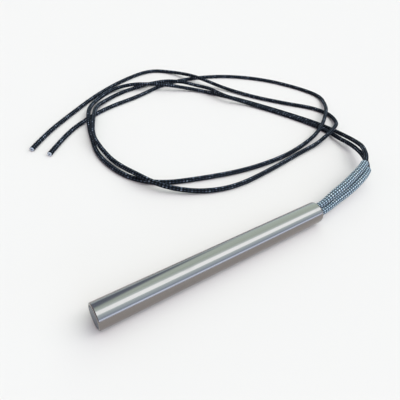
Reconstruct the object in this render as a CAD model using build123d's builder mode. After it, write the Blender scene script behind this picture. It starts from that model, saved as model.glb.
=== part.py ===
"""Cartridge heater: a rod-type tubular heater for moulds, dies and press tooling.

The sheath lies along X with its closed end at -X and its mouth at +X, its axis one
sheath radius above the floor, z = 0. The origin is on the floor under the middle of the
sheath. Two leads leave the mouth in braided sleeves and lie on the floor in loops.
All lengths are in millimetres.
"""

from build123d import *
import math
import os

# Sheath
sheath_d = 12.5
sheath_length = 135.0
sheath_wall = 1.0
closed_end_chamfer = 0.5
end_disc_thickness = 3.0

# Leads and sleeves
lead_d = 3.2
conductor_d = 1.2
braid_wall = 0.2
sleeve_clearance = 0.1
sleeve_neck_wall = 0.25
sleeve_body_wall = 0.9
sleeve_end_round = 0.3
pair_gap = 0.05
pair_tilt = 28.0
lead_seat_depth = 5.45
straight_exit = 5.5

# Cut ends of the leads
tip_seat = 3.0
insulation_proud = 0.2
conductor_proud = 0.5
tip_clearance = 0.02

# Heating core
core_count = 8
core_chamfer = 0.3
fill_wall = 0.58
wire_d = 0.5
bead_d = 0.6
coil_pitch = 5.6
pin_d = 1.6
short_pin_depth = 8.0
end_gap = 1.5
washer_thickness = 2.0

# Cold end
terminal_length = 12.0
head_length = 12.0
ferrule_d = 2.6
ferrule_length = 10.0
ferrule_crimp_radius = 1.4
ferrule_crimp_depth = 0.15
joint_gap = 1.0

# Clearances, each on the radius or along the axis
fit_clearance = 0.02
bore_clearance = 0.1
coil_to_core = 0.05
coil_to_fill = 0.1
mouth_clearance = 0.125
lip_clearance = 0.05

# Routes of the leads on the floor, each x measured from the mouth
route_a = [
    (17.5, 3.5, 9.7), (31, 5.4, 11), (43.5, 8.7, 11.4), (55, 11.4, 12.5),
    (67.5, 16.5, 13.2), (79.5, 28.3, 12.6), (88.5, 39.5, 8.5), (96, 51, 4.4),
    (100, 66, 1.6), (95.5, 85, 1.6), (81.5, 116, 1.6), (62.5, 152.5, 1.6),
    (43.5, 179, 1.6), (29.5, 189.5, 3), (15.5, 195.5, 5.6), (1.5, 203.5, 5.8),
    (-11.5, 209, 5.8), (-24, 214.5, 3), (-38.5, 210.5, 1.6), (-53.5, 198.5, 1.6),
    (-64.5, 184, 4), (-71.5, 168, 5.8), (-76, 155, 2), (-79.5, 141, 1.6),
    (-84, 122, 1.6), (-82.5, 102, 1.6), (-76.5, 84.5, 1.6), (-62.5, 71.5, 1.6),
    (-39.5, 64.5, 1.6), (-5.5, 57.5, 1.6), (30.5, 57.5, 1.6), (56.5, 62.5, 1.8),
    (73.5, 66.5, 3.8), (86.5, 72, 5.6), (100.5, 80.5, 5.6), (116.5, 92, 5.8),
    (131.5, 105.5, 2.6), (143.5, 122, 1.6), (138.5, 144, 1.6), (121.5, 175, 1.6),
    (90.5, 200, 1.6), (52.5, 210, 1.6), (16.5, 207, 1.6), (-15.5, 192.5, 1.6),
    (-51.5, 182.5, 1.6), (-81.5, 165, 1.6), (-98.5, 149.5, 1.6), (-111.6, 134.7, 1.6),
]
route_b = [
    (21, 1.9, 5.1), (33.5, 3.2, 6.1), (46, 5.4, 7.7), (57, 8.4, 8.6),
    (67, 13, 8.2), (78, 24.8, 7.8), (86.5, 40.2, 5.7), (89.5, 56, 3.4),
    (93.5, 69.5, 1.6), (89.5, 87, 1.6), (79.5, 112, 1.6), (65, 139.5, 2),
    (53.5, 150, 5), (48.5, 161, 5.8), (47, 173, 5.8), (42.5, 188, 3.6),
    (32.5, 196.5, 5.6), (19, 204.5, 5.8), (6.5, 211.5, 2.6), (-9.5, 210.5, 1.6),
    (-27.5, 205.5, 1.6), (-46.5, 195.5, 1.8), (-59.5, 183, 4.2), (-67.5, 167, 5.8),
    (-74.5, 152, 5.8), (-79.5, 138, 5.6), (-80.7, 124, 5), (-79, 109, 2.4),
    (-76.1, 95, 3.2), (-73.5, 82, 5.6), (-69.5, 70.5, 5.8), (-59.5, 60.5, 3.6),
    (-43.5, 51.5, 1.6), (-21.5, 46, 1.6), (12.5, 50, 1.6), (46.5, 56, 1.6),
    (68.5, 58.5, 2.2), (82.5, 61, 5.8), (97.5, 66.5, 6), (111, 74.5, 2.8),
    (120.5, 89.5, 1.6), (116.5, 106, 1.6), (98.5, 125, 1.6), (80.5, 148, 1.6),
    (67, 174, 1.8), (56.5, 189, 5), (51.5, 200, 5.8), (48, 212, 4.8),
    (41.5, 231, 1.6), (22.5, 244, 1.6), (-11.5, 231.5, 1.6), (-47.5, 210, 1.6),
    (-81.5, 182.5, 1.6), (-105.5, 162, 1.6), (-120, 145.7, 1.6),
]
arc_share = 0.45
sleeve_corners = 4
cone_corners = 2
cone_arc_share = 0.25
cone_share = 0.45

# Sizes that follow from those above
sheath_radius = sheath_d / 2
bore_radius = sheath_radius - sheath_wall
closed_x = -sheath_length / 2
mouth_x = sheath_length / 2
sleeve_bore_d = lead_d + 2 * sleeve_clearance
neck_d = sleeve_bore_d + 2 * sleeve_neck_wall
body_d = sleeve_bore_d + 2 * sleeve_body_wall
pair_spacing = neck_d + pair_gap
mouth_radius = (pair_spacing + neck_d) / 2 + mouth_clearance
roll_radius = sheath_radius - mouth_radius
fill_inner_radius = bore_radius - fit_clearance - fill_wall
coil_radius = fill_inner_radius - coil_to_fill - wire_d / 2
core_radius = coil_radius - wire_d / 2 - coil_to_core
washer_radius = bore_radius - fit_clearance

# Stations along the axis, from the closed end to the mouth
disc_x = closed_x + end_disc_thickness
bottom_washer_x = disc_x + washer_thickness
core_start_x = bottom_washer_x + end_gap
head_end_x = mouth_x - sheath_wall - lip_clearance
lead_start_x = head_end_x - lead_seat_depth
head_start_x = head_end_x - head_length
terminal_start_x = head_start_x - terminal_length
top_washer_x = terminal_start_x - washer_thickness
core_end_x = top_washer_x - end_gap
core_length = (core_end_x - core_start_x) / core_count
ferrule_middle_x = (terminal_start_x + head_start_x) / 2
coil_start_x = core_start_x - end_gap / 2
coil_end_x = core_end_x + end_gap / 2

# The pair of leads lies across the axis on a line tilted from the floor
pair_y = pair_spacing / 2 * math.cos(math.radians(pair_tilt))
pair_z = pair_spacing / 2 * math.sin(math.radians(pair_tilt))
places = {"a": (pair_y, pair_z), "b": (-pair_y, -pair_z)}


def section_plane(x):
    """Plane across the sheath at x: its own X is the part's Y, its own Y the part's Z."""
    return Plane(origin=(x, 0, sheath_radius), x_dir=(0, 1, 0), z_dir=(1, 0, 0))


def axis_plane(y=0.0, z=0.0):
    """Upright plane along X through a line beside the sheath's axis, for revolved profiles."""
    return Plane(origin=(0, y, sheath_radius + z), x_dir=(1, 0, 0), z_dir=(0, -1, 0))


def line_axis(y=0.0, z=0.0):
    """Axis along X through a line beside the sheath's axis."""
    return Axis((0, y, sheath_radius + z), (1, 0, 0))


def finish(piece, name):
    """Label a finished piece and write its STEP file."""
    piece.part.label = name
    export_step(piece.part, f"parts/{name}.step")


def lead_points(side, route):
    """Corner points of one lead, from its seat in the head bushing to its cut end."""
    y, z = places[side]
    seat = (lead_start_x, y, sheath_radius + z)
    outside = (mouth_x + straight_exit, y, sheath_radius + z)
    return [Vector(*seat), Vector(*outside)] + [Vector(mouth_x + x, y, z) for x, y, z in route]


def corner_radii(points):
    """Arc radius at each corner, as large as its runs allow and smaller beside the cone."""
    radii = []
    for number, (before, corner, after) in enumerate(zip(points, points[1:], points[2:]), 1):
        turn = (corner - before).get_angle(after - corner)
        shorter_run = min((corner - before).length, (after - corner).length)
        beside_cone = number in (cone_corners, cone_corners + 1)
        share = cone_arc_share if beside_cone else arc_share
        radii.append(share * shorter_run / math.tan(math.radians(turn / 2)))
    return radii


os.makedirs("parts", exist_ok=True)

# Sheath: drawn tube whose mouth is rolled in to a rounded shoulder
with BuildPart() as sheath:
    with BuildSketch(axis_plane()):
        with BuildLine():
            roll_x = mouth_x - roll_radius
            inner_roll_radius = roll_radius - sheath_wall
            Polyline(
                (roll_x, bore_radius),
                (closed_x, bore_radius),
                (closed_x, sheath_radius - closed_end_chamfer),
                (closed_x + closed_end_chamfer, sheath_radius),
                (roll_x, sheath_radius),
            )
            RadiusArc((roll_x, sheath_radius), (mouth_x, mouth_radius), roll_radius)
            Line((mouth_x, mouth_radius), (mouth_x - sheath_wall, mouth_radius))
            RadiusArc(
                (mouth_x - sheath_wall, mouth_radius), (roll_x, bore_radius), -inner_roll_radius
            )
        make_face()
    revolve(axis=line_axis())
finish(sheath, "sheath")

# End disc: welded into the tube, flush with its cut face
with BuildPart() as end_disc:
    with BuildSketch(section_plane(closed_x)):
        Circle(bore_radius)
    extrude(amount=end_disc_thickness)
finish(end_disc, "end_disc")

# Bottom washer: insulates the core's lower end from the disc
with BuildPart() as bottom_washer:
    with BuildSketch(section_plane(disc_x)):
        Circle(washer_radius)
    extrude(amount=washer_thickness)
finish(bottom_washer, "bottom_washer")

# Core: a stack of ceramic segments on the two pins
for number in range(core_count):
    with BuildPart() as core:
        with BuildSketch(section_plane(core_start_x + number * core_length)):
            Circle(core_radius)
            with Locations(*places.values()):
                Circle(pin_d / 2 + bore_clearance, mode=Mode.SUBTRACT)
        extrude(amount=core_length)
        rims = core.edges().filter_by(GeomType.CIRCLE).group_by(SortBy.RADIUS)[-1]
        chamfer(rims, core_chamfer)
    finish(core, f"core_{number + 1}")

# Pins: one runs the whole core to the coil's far end, the other only enters its top
pin_end_x = ferrule_middle_x - joint_gap / 2
pin_starts = {"a": bottom_washer_x, "b": core_end_x - short_pin_depth}
for side, start_x in pin_starts.items():
    with BuildPart() as pin:
        with BuildSketch(section_plane(start_x)):
            with Locations(places[side]):
                Circle(pin_d / 2)
        extrude(amount=pin_end_x - start_x)
    finish(pin, f"terminal_pin_{side}")

# Heating coil: a wire wound on the core, with a welded bead and a straight leg at each
# end that reaches its pin. It starts above the axis and ends below it, half a turn on.
coil_length = coil_end_x - coil_start_x
coil_turns = round(coil_length / coil_pitch) + 0.5
with BuildPart() as heating_coil:
    with BuildLine() as winding:
        Helix(
            pitch=coil_length / coil_turns,
            height=coil_length,
            radius=coil_radius,
            center=(coil_start_x, 0, sheath_radius),
            direction=(1, 0, 0),
        )
    with BuildSketch(Plane(origin=winding.line @ 0, z_dir=winding.line % 0)):
        Circle(wire_d / 2)
    sweep(path=winding.line, is_frenet=True)
    for elbow, side in ((winding.line @ 0, "a"), (winding.line @ 1, "b")):
        y, z = places[side]
        pin_centre = Vector(elbow.X, y, sheath_radius + z)
        leg = pin_centre - elbow
        with BuildSketch(Plane(origin=elbow, z_dir=leg)):
            Circle(wire_d / 2)
        extrude(amount=leg.length - pin_d / 2)
        with Locations(elbow):
            Sphere(bead_d / 2)
finish(heating_coil, "heating_coil")

# Magnesia: packed between the winding and the tube's bore, from washer to washer
with BuildPart() as magnesia_fill:
    with BuildSketch(section_plane(bottom_washer_x)):
        Circle(bore_radius - fit_clearance)
        Circle(fill_inner_radius, mode=Mode.SUBTRACT)
    extrude(amount=top_washer_x - bottom_washer_x)
finish(magnesia_fill, "magnesia_fill")

# Top washer: closes the heated length, both pins pass through it
with BuildPart() as top_washer:
    with BuildSketch(section_plane(top_washer_x)):
        Circle(washer_radius)
        with Locations(*places.values()):
            Circle(pin_d / 2 + bore_clearance, mode=Mode.SUBTRACT)
    extrude(amount=washer_thickness)
finish(top_washer, "top_washer")

# Terminal insulator: keeps the two crimped joints apart in the cold end
with BuildPart() as terminal_insulator:
    with BuildSketch(section_plane(terminal_start_x)):
        Circle(washer_radius)
        with Locations(*places.values()):
            Circle(ferrule_d / 2 + bore_clearance, mode=Mode.SUBTRACT)
    extrude(amount=terminal_length)
finish(terminal_insulator, "terminal_insulator")

# Ferrules: each crimps a pin to the conductor of its lead, with two crimped waists
for side, (y, z) in places.items():
    with BuildPart() as ferrule:
        with BuildSketch(axis_plane(y, z)):
            with Locations((ferrule_middle_x, ferrule_d / 4)):
                Rectangle(ferrule_length, ferrule_d / 2)
            with Locations((ferrule_middle_x - ferrule_length / 4, 0)):
                Rectangle(
                    ferrule_length / 2,
                    pin_d / 2 + fit_clearance,
                    align=(Align.CENTER, Align.MIN),
                    mode=Mode.SUBTRACT,
                )
            with Locations((ferrule_middle_x + ferrule_length / 4, 0)):
                Rectangle(
                    ferrule_length / 2,
                    conductor_d / 2 + fit_clearance,
                    align=(Align.CENTER, Align.MIN),
                    mode=Mode.SUBTRACT,
                )
            waist_y = ferrule_d / 2 - ferrule_crimp_depth + ferrule_crimp_radius
            with Locations(
                (ferrule_middle_x - ferrule_length / 4, waist_y),
                (ferrule_middle_x + ferrule_length / 4, waist_y),
            ):
                Circle(ferrule_crimp_radius, mode=Mode.SUBTRACT)
        revolve(axis=line_axis(y, z))
    finish(ferrule, f"ferrule_{side}")

# Conductors: bare ends of the leads, from the ferrules to where the insulation starts
conductor_start_x = ferrule_middle_x + joint_gap / 2
for side in places:
    with BuildPart() as conductor:
        with BuildSketch(section_plane(conductor_start_x)):
            with Locations(places[side]):
                Circle(conductor_d / 2)
        extrude(amount=lead_start_x - conductor_start_x)
    finish(conductor, f"conductor_{side}")

# Head bushing: seats inside the rolled mouth, its double bore holds sleeves and leads
with BuildPart() as head_bushing:
    with BuildSketch(section_plane(head_start_x)):
        Circle(washer_radius)
        with Locations(*places.values()):
            Circle(conductor_d / 2 + bore_clearance, mode=Mode.SUBTRACT)
    extrude(amount=head_length)
    front = head_bushing.faces().sort_by(Axis.X)[-1]
    fillet(front.outer_wire().edges(), roll_radius - sheath_wall)
    with BuildSketch(section_plane(lead_start_x)):
        with Locations(*places.values()):
            Circle(neck_d / 2 + bore_clearance)
    extrude(amount=lead_seat_depth, mode=Mode.SUBTRACT)
finish(head_bushing, "head_bushing")

# Leads, with their sleeves at the mouth and their cut ends
for side, route in (("a", route_a), ("b", route_b)):
    points = lead_points(side, route)
    radii = corner_radii(points)
    print(f"lead_{side} arc radii:", ", ".join(f"{radius:.0f}" for radius in radii))

    # Lead: a plain round cord, its cut end hollowed for the insulation and the conductor
    with BuildPart() as lead:
        with BuildLine() as lead_path:
            FilletPolyline(*points, radius=radii)
        with BuildSketch(Plane(origin=lead_path.line @ 0, z_dir=lead_path.line % 0)):
            Circle(lead_d / 2)
        sweep(path=lead_path.line)
        lead_length = lead_path.wire().length
        plain_volume = math.pi / 4 * lead_d**2 * lead_length
        print(f"lead_{side} length {lead_length:.1f} mm,", end=" ")
        print(f"volume {lead.part.volume:.0f} of {plain_volume:.0f} mm3")
        cut_face = Plane(origin=lead_path.line @ 1, z_dir=lead_path.line % 1)
        with BuildSketch(cut_face):
            Circle(lead_d / 2 - braid_wall)
        extrude(amount=-tip_seat, mode=Mode.SUBTRACT)
    finish(lead, f"lead_{side}")

    # Insulation: the pale inner layer that shows in the cut end
    with BuildPart() as insulation:
        with BuildSketch(cut_face.offset(-tip_seat)):
            Circle(lead_d / 2 - braid_wall - tip_clearance)
            Circle(conductor_d / 2 + tip_clearance, mode=Mode.SUBTRACT)
        extrude(amount=tip_seat + insulation_proud)
    finish(insulation, f"insulation_end_{side}")

    # Conductor end: stands a little out of its insulation
    with BuildPart() as conductor_end:
        with BuildSketch(cut_face.offset(-tip_seat)):
            Circle(conductor_d / 2)
        extrude(amount=tip_seat + conductor_proud)
    finish(conductor_end, f"conductor_end_{side}")

    # Sleeve: pinched in the mouth, wider outside, round the first stretch of its lead
    cone_middle = (points[cone_corners] + points[cone_corners + 1]) / 2
    straight = points[cone_corners + 1] - points[cone_corners]
    half_cone = straight * (cone_share / 2)
    sleeve_end = (points[sleeve_corners + 1] + points[sleeve_corners + 2]) / 2
    cone_start, cone_end = cone_middle - half_cone, cone_middle + half_cone
    neck_points = [*points[: cone_corners + 1], cone_start]
    body_points = [cone_end, *points[cone_corners + 1 : sleeve_corners + 2], sleeve_end]
    bore_points = [*points[: sleeve_corners + 2], sleeve_end]
    with BuildPart() as sleeve:
        with BuildLine() as neck_path:
            FilletPolyline(*neck_points, radius=radii[:cone_corners])
        with BuildSketch(Plane(origin=neck_path.line @ 0, z_dir=neck_path.line % 0)):
            Circle(neck_d / 2)
        sweep(path=neck_path.line)
        with BuildLine() as body_path:
            FilletPolyline(*body_points, radius=radii[cone_corners : sleeve_corners + 1])
        with BuildSketch(Plane(origin=body_path.line @ 0, z_dir=body_path.line % 0)):
            Circle(body_d / 2)
        sweep(path=body_path.line)
        with BuildSketch(Plane(origin=cone_start, z_dir=straight)):
            Circle(neck_d / 2)
        with BuildSketch(Plane(origin=cone_end, z_dir=straight)):
            Circle(body_d / 2)
        loft()
        with BuildLine() as bore_path:
            FilletPolyline(*bore_points, radius=radii[: sleeve_corners + 1])
        with BuildSketch(Plane(origin=bore_path.line @ 0, z_dir=bore_path.line % 0)):
            Circle(sleeve_bore_d / 2)
        sweep(path=bore_path.line, mode=Mode.SUBTRACT)
        outer_face = sleeve.faces().filter_by(GeomType.PLANE).sort_by_distance(sleeve_end)[0]
        fillet(outer_face.outer_wire().edges(), sleeve_end_round)
    finish(sleeve, f"sleeve_{side}")
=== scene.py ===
"""Cartridge heater on a pale floor: its finishes, braided sleeves and leads, and a small studio.

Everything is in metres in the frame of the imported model: the sheath lies along X with its
mouth at +X, its axis one sheath radius above the floor, and the leads lie on the +Y side.
"""

import logging
import math
from dataclasses import dataclass
from enum import Enum
from typing import Any, Callable, Iterable, Sequence

import bmesh
import bpy
import numpy as np
from mathutils import Matrix, Vector


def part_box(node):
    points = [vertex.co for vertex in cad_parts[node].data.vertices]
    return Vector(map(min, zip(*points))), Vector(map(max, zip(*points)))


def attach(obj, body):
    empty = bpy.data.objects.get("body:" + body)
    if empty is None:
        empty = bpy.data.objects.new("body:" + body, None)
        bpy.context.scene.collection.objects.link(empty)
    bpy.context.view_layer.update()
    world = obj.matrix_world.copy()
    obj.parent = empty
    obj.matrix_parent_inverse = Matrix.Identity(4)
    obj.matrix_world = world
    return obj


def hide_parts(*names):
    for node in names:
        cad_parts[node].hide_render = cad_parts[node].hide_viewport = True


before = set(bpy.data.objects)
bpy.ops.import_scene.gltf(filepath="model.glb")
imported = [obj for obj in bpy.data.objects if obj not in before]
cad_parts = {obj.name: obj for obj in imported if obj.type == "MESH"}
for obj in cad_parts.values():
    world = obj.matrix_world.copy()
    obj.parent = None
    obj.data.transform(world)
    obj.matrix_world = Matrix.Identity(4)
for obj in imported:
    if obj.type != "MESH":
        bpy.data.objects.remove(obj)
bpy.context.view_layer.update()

log = logging.getLogger("cartridge_heater")

MM = 0.001
NEAR = 0.01 * MM
BODY = "root"
Point = tuple[float, float, float]
Colour = tuple[float, float, float]
Fade = tuple[float, float]
ROUTE_STEPS = 16
FINE_GRAIN = 2500.0


def math_operator(operation: str, swapped: bool = False) -> Callable[["Value", Any], "Value"]:
    """Makes the method that stands for a Python operator on shader sockets.

    Args:
        operation: The Math node's operation.
        swapped: Whether the operands change places, as in 1 - mask.

    Returns:
        The method.
    """

    def apply(value: "Value", other: Any) -> "Value":
        """Returns the value of the Math node that the operator adds."""
        operands = (other, value) if swapped else (value, other)
        return value.graph.math(operation, *operands)

    return apply


class Value:
    """A shader socket that takes part in Python sums and products."""

    def __init__(self, graph: "Graph", socket: bpy.types.NodeSocket) -> None:
        """Wraps a socket.

        Args:
            graph: The node graph the socket belongs to.
            socket: The output socket.
        """
        self.graph = graph
        self.socket = socket

    __add__ = __radd__ = math_operator("ADD")
    __sub__ = math_operator("SUBTRACT")
    __rsub__ = math_operator("SUBTRACT", swapped=True)
    __mul__ = __rmul__ = math_operator("MULTIPLY")
    __truediv__ = math_operator("DIVIDE")
    __rtruediv__ = math_operator("DIVIDE", swapped=True)
    __pow__ = math_operator("POWER")
    __rpow__ = math_operator("POWER", swapped=True)
    __lt__ = math_operator("LESS_THAN")
    __gt__ = math_operator("GREATER_THAN")


class Graph:
    """Node graph of a material or a world, with one method for any node."""

    def __init__(self, owner: bpy.types.Material | bpy.types.World) -> None:
        """Clears the owner's nodes.

        Args:
            owner: The material or world to fill.
        """
        owner.use_nodes = True
        self.owner = owner
        self.tree = owner.node_tree
        self.tree.nodes.clear()

    def node(
        self, kind: str, settings: dict[str, Any] | None = None, inputs: dict[Any, Any] | None = None
    ) -> bpy.types.Node:
        """Adds a node.

        Args:
            kind: The node's type name.
            settings: Properties set on the node before its sockets are; stops are a ramp's.
            inputs: Values, colours or links of its sockets, by name or number.

        Returns:
            The node.
        """
        node = self.tree.nodes.new(kind)
        for name, setting in (settings or {}).items():
            if name == "stops":
                self.set_stops(node.color_ramp, setting)
            else:
                setattr(node, name, setting)
        for key, value in (inputs or {}).items():
            socket = node.inputs[key]
            if isinstance(value, Value):
                self.tree.links.new(value.socket, socket)
            elif isinstance(value, bpy.types.NodeSocket):
                self.tree.links.new(value, socket)
            else:
                socket.default_value = value
        return node

    def set_stops(self, ramp: bpy.types.ColorRamp, stops: Sequence[tuple[float, Colour]]) -> None:
        """Gives a colour ramp its stops.

        Args:
            ramp: The ramp.
            stops: Each stop's place from 0 to 1 and its colour.
        """
        while len(ramp.elements) < len(stops):
            ramp.elements.new(1.0)
        for element, (place, colour) in zip(ramp.elements, stops):
            element.position = place
            element.color = opaque(colour)

    def math(self, operation: str, *operands: Any) -> Value:
        """Returns the value of a Math node on sockets or numbers."""
        node = self.node("ShaderNodeMath", {"operation": operation}, dict(enumerate(operands)))
        return Value(self, node.outputs[0])

    def smooth(self, value: Value, start: float, end: float) -> Value:
        """Turns a value into a smooth step.

        Args:
            value: The value.
            start: Where the step is 0.
            end: Where it is 1, on either side of the start.

        Returns:
            The step, from 0 to 1.
        """
        node = self.node(
            "ShaderNodeMapRange",
            {"interpolation_type": "SMOOTHSTEP"},
            {"Value": value, "From Min": start, "From Max": end},
        )
        return Value(self, node.outputs["Result"])

    def blend(self, factor: Any, first: Any, second: Any) -> Value:
        """Mixes two colours.

        Args:
            factor: 0 gives the first colour and 1 the second.
            first: A colour or a link.
            second: A colour or a link.

        Returns:
            The mixed colour.
        """
        colours = [opaque(c) if isinstance(c, tuple) else c for c in (first, second)]
        node = self.node(
            "ShaderNodeMix",
            {"data_type": "RGBA", "clamp_factor": True},
            {0: factor, 6: colours[0], 7: colours[1]},
        )
        return Value(self, node.outputs[2])

    def noise(self, vector: Any, scale: float, detail: float = 3.0) -> Value:
        """Spreads a noise over a vector.

        Args:
            vector: The vector.
            scale: How fine the noise is.
            detail: How many finer layers lie on it.

        Returns:
            The noise, about 0 to 1.
        """
        node = self.node(
            "ShaderNodeTexNoise", None, {"Vector": vector, "Scale": scale, "Detail": detail}
        )
        return Value(self, node.outputs["Fac"])

    def chance(self, first: Value, second: Value) -> Value:
        """Draws a number for each cell of a grid.

        Args:
            first: Number of the cell one way.
            second: Number of the cell the other way.

        Returns:
            The drawn number, from 0 to 1.
        """
        cell = self.node("ShaderNodeCombineXYZ", None, {"X": first, "Y": second})
        node = self.node("ShaderNodeTexWhiteNoise", None, {"Vector": cell.outputs["Vector"]})
        return Value(self, node.outputs["Value"])

    def object_point(
        self, stretch: Point = (1.0, 1.0, 1.0), centre: Point = (0.0, 0.0, 0.0)
    ) -> Value:
        """Places a pattern on the piece.

        Args:
            stretch: Scale of the pattern along each axis.
            centre: Its centre.

        Returns:
            The object coordinates about the centre, stretched.
        """
        coordinates = self.node("ShaderNodeTexCoord").outputs["Object"]
        offset = tuple(-s * c for s, c in zip(stretch, centre))
        node = self.node(
            "ShaderNodeMapping", None, {"Vector": coordinates, "Location": offset, "Scale": stretch}
        )
        return Value(self, node.outputs["Vector"])

    def parts(self, vector: Value) -> tuple[Value, ...]:
        """Returns a vector's three components."""
        node = self.node("ShaderNodeSeparateXYZ", None, {"Vector": vector})
        return tuple(Value(self, output) for output in node.outputs)

    def bump(self, height: Value, distance: float, strength: float = 1.0) -> Value:
        """Returns a normal bumped by a height in units of the distance, in metres."""
        node = self.node(
            "ShaderNodeBump", None, {"Height": height, "Distance": distance, "Strength": strength}
        )
        return Value(self, node.outputs["Normal"])

    def surface(self, inputs: dict[str, Any]) -> bpy.types.Material:
        """Ends the graph in a Principled surface.

        Args:
            inputs: Values or links of its sockets.

        Returns:
            The material.
        """
        shader = self.node("ShaderNodeBsdfPrincipled", None, inputs)
        self.node("ShaderNodeOutputMaterial", None, {"Surface": shader.outputs["BSDF"]})
        return self.owner


def opaque(colour: Colour) -> tuple[float, float, float, float]:
    """Returns a colour with full alpha."""
    return (*colour, 1.0)


@dataclass(frozen=True)
class GroundSteel:
    """Ground and polished stainless steel of the sheath, with fine marks round the rod.

    Attributes:
        name: Name of the material.
        colour: Reflectance of the clean metal.
        dull_colour: Reflectance where handling has dulled it.
        cloud_wear: How far the clouds dull it.
        smear_wear: How far the smears dull it.
        roughness: Roughness of the clean metal.
        cloud_roughness: Roughness that the clouds add.
        mark_roughness: Roughness that the marks round the rod add.
        smear_roughness: Roughness that the smears add.
        mark_depth: Depth of the marks round the rod.
        long_share: Depth of the marks along the rod, as a share of that.
        mark_strength: Strength of the bump.
        round_grain: Scale of the marks round the rod, per metre along each axis.
        long_grain: Scale of the marks along the rod.
        smear_grain: Scale of the smears.
        smear_fade: Noise at which a smear starts and at which it is full.
        cloud_scale: Scale of the clouds, per metre.
    """

    name: str = "ground_steel"
    colour: Colour = (0.256, 0.234, 0.221)
    dull_colour: Colour = (0.202, 0.187, 0.179)
    cloud_wear: float = 0.25
    smear_wear: float = 0.5
    roughness: float = 0.1
    cloud_roughness: float = 0.04
    mark_roughness: float = 0.03
    smear_roughness: float = 0.08
    mark_depth: float = 0.003 * MM
    long_share: float = 0.6
    mark_strength: float = 0.4
    round_grain: Point = (900.0, 40.0, 40.0)
    long_grain: Point = (14.0, 700.0, 700.0)
    smear_grain: Point = (60.0, 260.0, 260.0)
    smear_fade: Fade = (0.55, 0.8)
    cloud_scale: float = 90.0

    def build(self) -> bpy.types.Material:
        """Builds the material.

        Returns:
            The material.
        """
        graph = Graph(bpy.data.materials.new(self.name))
        round_marks = graph.noise(graph.object_point(self.round_grain), 1.0, detail=4.0)
        long_marks = graph.noise(graph.object_point(self.long_grain), 1.0, detail=3.0)
        clouds = graph.noise(graph.object_point(), self.cloud_scale, detail=4.0)
        spots = graph.noise(graph.object_point(self.smear_grain), 1.0, detail=5.0)
        smears = graph.smooth(spots, *self.smear_fade)
        wear = clouds * self.cloud_wear + smears * self.smear_wear
        uneven = clouds * self.cloud_roughness + round_marks * self.mark_roughness
        marks = round_marks + long_marks * self.long_share
        return graph.surface(
            {
                "Base Color": graph.blend(wear, self.colour, self.dull_colour),
                "Metallic": 1.0,
                "Roughness": self.roughness + uneven + smears * self.smear_roughness,
                "Normal": graph.bump(marks, self.mark_depth, self.mark_strength),
            }
        )


@dataclass(frozen=True)
class FacedSteel:
    """Turned steel of the closing disc, with rings about its middle and a heat-tinted rim.

    Attributes:
        axis_height: Height of the disc's centre over the floor.
        radius: Radius of the disc.
        name: Name of the material.
        colour: Colour of the face, darker and bluer than the sheath's steel: painted shade for its dim
            reflection.
        rim_colour: Reflectance of the tinted rim beside the weld.
        tint_width: Width of the tinted rim.
        tint_drift: How far its edge wanders.
        roughness: Roughness of the face.
        cloud_roughness: Roughness that the clouds add.
        tint_roughness: Roughness that the tint adds.
        cloud_scale: Scale of the clouds, per metre.
        ring_spacing: Distance between the turning marks.
        ring_depth: Depth of the turning marks.
        ring_strength: Strength of the bump.
    """

    axis_height: float
    radius: float
    name: str = "faced_steel"
    # painted shade: the face is darker and bluer than the sheath's steel
    colour: Colour = (0.13, 0.145, 0.18)
    rim_colour: Colour = (0.06, 0.066, 0.085)
    tint_width: float = 0.9 * MM
    tint_drift: float = 0.5 * MM
    roughness: float = 0.3
    cloud_roughness: float = 0.15
    tint_roughness: float = 0.1
    cloud_scale: float = 350.0
    ring_spacing: float = 0.22 * MM
    ring_depth: float = 0.008 * MM
    ring_strength: float = 0.5

    def build(self) -> bpy.types.Material:
        """Builds the material.

        Returns:
            The material.
        """
        graph = Graph(bpy.data.materials.new(self.name))
        _, y, z = graph.parts(graph.object_point(centre=(0.0, 0.0, self.axis_height)))
        radius = (y * y + z * z) ** 0.5
        rings = graph.math("SINE", radius * (2.0 * math.pi / self.ring_spacing))
        clouds = graph.noise(graph.object_point(), self.cloud_scale, detail=4.0)
        drifted = radius + clouds * self.tint_drift
        tint = graph.smooth(drifted, self.radius - self.tint_width, self.radius)
        uneven = clouds * self.cloud_roughness + tint * self.tint_roughness
        return graph.surface(
            {
                # The face's dark blue-grey colour is painted shade for its dim reflection.
                "Base Color": graph.blend(tint, self.colour, self.rim_colour),
                "Metallic": 1.0,
                "Roughness": self.roughness + uneven,
                "Normal": graph.bump(rings + clouds, self.ring_depth, self.ring_strength),
            }
        )


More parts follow.
